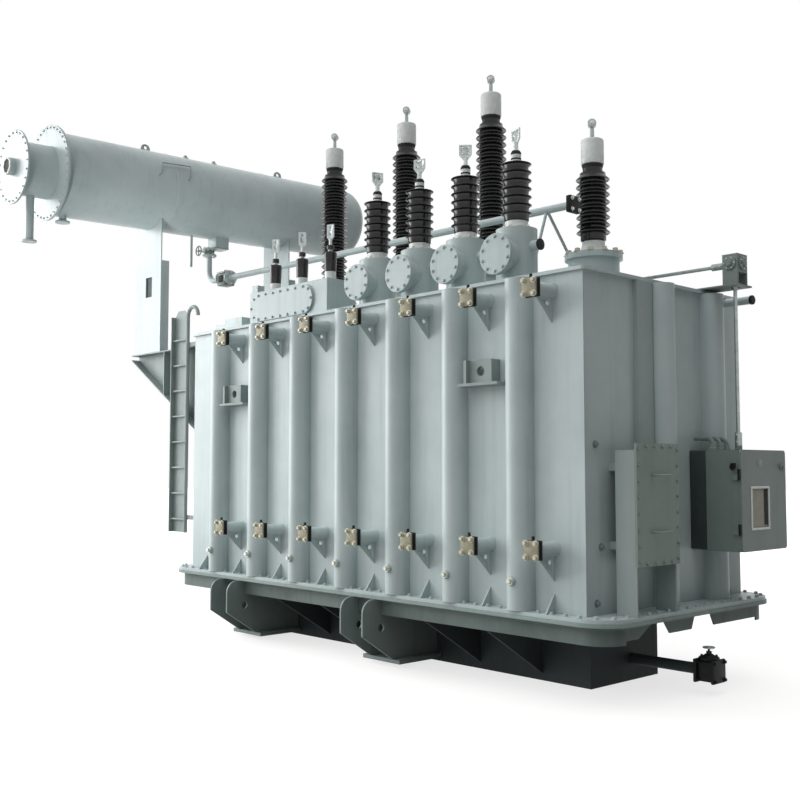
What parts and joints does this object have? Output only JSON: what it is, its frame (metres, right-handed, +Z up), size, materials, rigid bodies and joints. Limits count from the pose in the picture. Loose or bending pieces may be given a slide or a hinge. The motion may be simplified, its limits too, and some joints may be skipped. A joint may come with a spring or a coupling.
{
  "type": "power transformer",
  "caption": "Oil-filled power transformer in a ribbed bell tank, with bushings on its cover, a cross-mounted conservator and a motor drive for its tap changer.",
  "frame": {"origin": "on the ground under the middle of the tank", "axes": "+X along the tank to the end with the motor drive cabinet, -Y to the side with the low-voltage bushings, +Z up"},
  "size_m": [7.8955, 5.0722, 5.8608],
  "materials": {
    "tank_paint": "satin light grey-green paint",
    "base_paint": "satin grey paint in shade",
    "cabinet_paint": "satin mid-grey paint",
    "valve_metal": "satin paint with plated bolts",
    "valve_black": "black painted casting",
    "porcelain": "dark brown glaze",
    "terminal_metal": "pale cast metal",
    "shaft_metal": "galvanised",
    "pane": "beige inner panel behind a clear pane"
  },
  "bodies": {
    "tank": {"base_trough": "base_paint", "base_tray": "base_paint", "base_webs": "base_paint", "pulling_lugs": "tank_paint", "tank_flange": "tank_paint", "front_wall": "tank_paint", "rear_wall": "tank_paint", "left_end_wall": "tank_paint", "right_end_wall": "tank_paint", "tank_cover": "tank_paint", "front_stiffeners": "tank_paint", "rear_stiffeners": "tank_paint", "end_stiffeners": "tank_paint", "flange_gussets": "tank_paint", "front_radiator_valves": "valve_metal", "rear_radiator_valves": "valve_metal", "lifting_lugs": "tank_paint", "mv_turrets": "tank_paint", "mv_turret_covers": "tank_paint", "mv_insulators": "porcelain", "mv_terminals": "terminal_metal", "lv_turret": "tank_paint", "lv_turret_cover": "tank_paint", "lv_bushings": "porcelain", "hv_turrets": "tank_paint", "hv_insulators": "porcelain", "hv_caps": "terminal_metal", "conservator_shell": "tank_paint", "conservator_front_end": "tank_paint", "conservator_rear_end": "tank_paint", "tap_changer_chamber": "tank_paint", "tap_changer_chamber_end": "tank_paint", "conservator_pipes": "tank_paint", "conservator_posts": "tank_paint", "conservator_brackets": "tank_paint", "conservator_sump": "tank_paint", "gas_relay": "cabinet_paint", "gas_pipe": "tank_paint", "gas_pipe_brace": "tank_paint", "ladder": "tank_paint", "terminal_box": "tank_paint", "terminal_box_cover": "tank_paint", "motor_drive_box": "cabinet_paint", "drive_gear_box": "cabinet_paint", "tap_changer_head": "tank_paint", "drain_valve": "valve_black"},
    "door": {"motor_drive_door": "cabinet_paint", "motor_drive_window": "pane"},
    "vertical_shaft": {"vertical_drive_shaft": "shaft_metal"},
    "horizontal_shaft": {"horizontal_drive_shaft": "shaft_metal"},
    "drain_wheel": {"drain_valve_handwheel": "valve_black"}
  },
  "joints": [
    {"name": "door_hinge", "type": "hinge", "parent": "tank", "child": "door", "pos_m": [3.2175, 0.297, 1.54], "axis": [0, 0, -1], "range_deg": [0, 110]},
    {"name": "horizontal_shaft_spin", "type": "hinge", "parent": "tank", "child": "horizontal_shaft", "pos_m": [2, 0.62, 3.54], "axis": [1, 0, 0], "continuous": true},
    {"name": "vertical_shaft_spin", "type": "hinge", "parent": "tank", "child": "vertical_shaft", "pos_m": [3.04, 0.62, 2.7], "axis": [0, 0, 1], "continuous": true},
    {"name": "drain_wheel_spin", "type": "hinge", "parent": "tank", "child": "drain_wheel", "pos_m": [3.04, 0.085, 0.3555], "axis": [0, 0, 1], "continuous": true}
  ],
  "couplings": [
    {"joint": "vertical_shaft_spin", "follows": "horizontal_shaft_spin", "ratio": -1}
  ]
}
